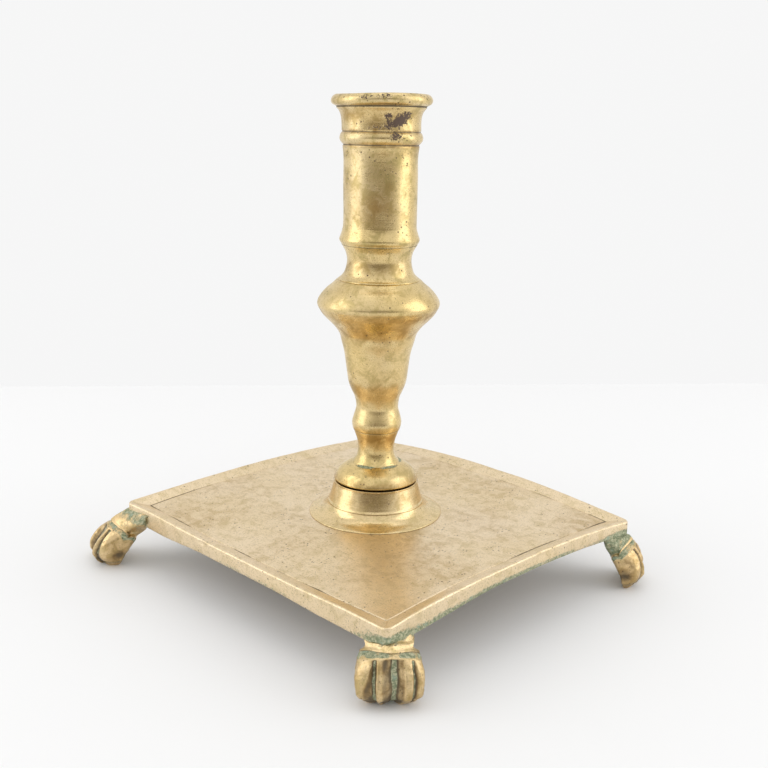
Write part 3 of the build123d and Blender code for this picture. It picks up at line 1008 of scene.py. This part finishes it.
def make_foot(node, material, seed):
    foot = plain_foot(node)
    carve_foot(foot, node, seed)
    faces = grid_faces(FOOT_ROWS, FOOT_COLUMNS)
    faces.append(tuple(range(FOOT_COLUMNS - 1, -1, -1)))
    faces.append(tuple((FOOT_ROWS - 1) * FOOT_COLUMNS + j for j in range(FOOT_COLUMNS)))
    faces = [face[::-1] for face in faces]
    make_piece(node + "_paw", place_foot(foot, node, seed), faces, "base", [node], material,
               weather_foot(foot, node, seed))


def make_feet():
    material = brass("foot_brass", FOOT_GOLD, (0.26, 0.44), (200.0, 500.0, 1.0), 0.03, speckle=0.8)
    for index, node in enumerate(FOOT_STANCE):
        make_foot(node, material, 40 + 7 * index)


def finish_fixings():
    """The washer and nut keep their CAD shapes and get unpolished brass."""
    dull = brass("fixing_brass", DULL_BRASS, (0.38, 0.55), (300.0, 300.0, 300.0), 0.05, stain=0.8)
    for node in ("tang_washer", "tang_nut"):
        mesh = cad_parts[node].data
        mesh.materials.clear()
        mesh.materials.append(dull)


# ------------------------------------------------------------------ stage and light


# how far behind the candlestick the table ends, at its left and right as the camera sees them
TABLE_EDGE = (0.19, 0.46)
TABLE_REACH = 1.6
TABLE_WHITE = colour(0.88, 0.88, 0.88)


def make_floor():
    """A white table top that ends behind the candlestick, against the white backdrop."""
    toward = CAMERA_PLACE.to_2d().normalized()
    across = Vector((-toward.y, toward.x))
    plan = [(TABLE_REACH, -TABLE_REACH), (TABLE_REACH, TABLE_REACH), (-TABLE_EDGE[1], TABLE_REACH),
            (-TABLE_EDGE[0], -TABLE_REACH)]
    corners = [toward * ahead + across * side for ahead, side in plan]
    mesh = bpy.data.meshes.new("floor")
    mesh.from_pydata([(corner.x, corner.y, 0) for corner in corners], [], [(0, 1, 2, 3)])
    floor = bpy.data.objects.new("floor", mesh)
    bpy.context.scene.collection.objects.link(floor)
    material = bpy.data.materials.new("floor_white")
    material.use_nodes = True
    n = Nodes(material)
    shader = n.add("ShaderNodeBsdfPrincipled")
    n.put(shader, "Base Color", TABLE_WHITE)
    n.put(shader, "Roughness", 0.6)
    n.put(shader, "Specular IOR Level", 0.2)
    out = n.add("ShaderNodeOutputMaterial")
    n.put(out, "Surface", shader.outputs["BSDF"])
    mesh.materials.append(material)


def area_light(name, place, aim, size, power):
    data = bpy.data.lights.new(name, "AREA")
    data.shape = "RECTANGLE"
    data.size, data.size_y = size
    data.energy = power
    light = bpy.data.objects.new(name, data)
    light.location = place
    light.rotation_mode = "QUATERNION"
    light.rotation_quaternion = (Vector(aim) - Vector(place)).to_track_quat("-Z", "Y")
    bpy.context.scene.collection.objects.link(light)


ROOM_WHITE, ROOM_DARK = 0.93, 0.20      # as the brass mirrors it
ROOM_COLOUR = colour(1.0, 0.82, 0.56)
ROOM_FILL = 0.86            # as it lights everything
ROOM_FILL_LOW = 1.9         # more light comes in low, under the plate
BACKDROP = 0.925            # as the camera sees it
# the soft boxes beside the camera and the lamp above: metres, W
BOX_SIZE = (0.62, 1.0)
BOX_RADIANCE = 1.08
BOX_ASIDE, BOX_AHEAD, BOX_HEIGHT = 0.86, 0.12, 0.42
BOX_AIM = Vector((0, 0, 0.12))
TOP_PLACE = (-0.1, 0.1, 1.3)
TOP_SIZE = (0.9, 0.9)
TOP_POWER = 1.2


def make_world():
    """A white studio all round, with the dark room behind the camera, as the brass mirrors it."""
    world = bpy.data.worlds.new("studio")
    bpy.context.scene.world = world
    world.use_nodes = True
    n = Nodes(world)
    direction = n.add("ShaderNodeTexCoord").outputs["Generated"]
    toward = CAMERA_PLACE.to_2d().normalized()
    dot = n.add("ShaderNodeVectorMath", operation="DOT_PRODUCT")
    n.put(dot, 0, direction)
    n.put(dot, 1, (toward.x, toward.y, 0.0))
    # the dark room narrows with height, under the lamps
    up = n.add("ShaderNodeSeparateXYZ")
    n.put(up, "Vector", direction)
    ahead = n.math("SUBTRACT", dot.outputs["Value"], n.math("MAXIMUM", up.outputs["Z"], 0.0))
    shade = n.remap(ahead, 0.50, 0.74, ROOM_WHITE, ROOM_DARK)
    path = n.add("ShaderNodeLightPath")
    level = n.add("ShaderNodeMix", data_type="FLOAT")
    n.put(level, "Factor", path.outputs["Is Camera Ray"])
    n.put(level, 2, shade)
    n.put(level, 3, BACKDROP)
    soft = n.add("ShaderNodeMix", data_type="FLOAT")
    n.put(soft, "Factor", path.outputs["Is Diffuse Ray"])
    n.put(soft, 2, level.outputs[0])
    n.put(soft, 3, n.remap(up.outputs["Z"], 0.04, 0.40, ROOM_FILL_LOW, ROOM_FILL))
    back = n.add("ShaderNodeBackground")
    warm = n.math("MULTIPLY", n.remap(ahead, 0.56, 0.78), path.outputs["Is Glossy Ray"])
    n.put(back, "Color", n.mix(warm, colour(1.0, 1.0, 1.0), ROOM_COLOUR))
    n.put(back, "Strength", soft.outputs[0])
    out = n.add("ShaderNodeOutputWorld")
    n.put(out, "Surface", back.outputs["Background"])



def make_lights():
    """Two tall soft boxes, one on each side of the camera's line of sight, and a soft top light."""
    toward = CAMERA_PLACE.to_2d().normalized()
    right = Vector((-toward.y, toward.x))
    power = BOX_RADIANCE * math.pi * BOX_SIZE[0] * BOX_SIZE[1]
    for name, side in (("box_left", -1), ("box_right", 1)):
        flat = right * side * BOX_ASIDE + toward * BOX_AHEAD
        area_light(name, (flat.x, flat.y, BOX_HEIGHT), BOX_AIM, BOX_SIZE, power)
    area_light("top", TOP_PLACE, (0, 0, 0), TOP_SIZE, TOP_POWER)


def set_view_colours():
    view = bpy.context.scene.view_settings
    view.view_transform = "Standard"
    view.look = "None"


make_camera()
make_socket()
make_stem()
make_collar()
make_plate()
make_feet()
finish_fixings()
make_floor()
make_world()
make_lights()
set_view_colours()
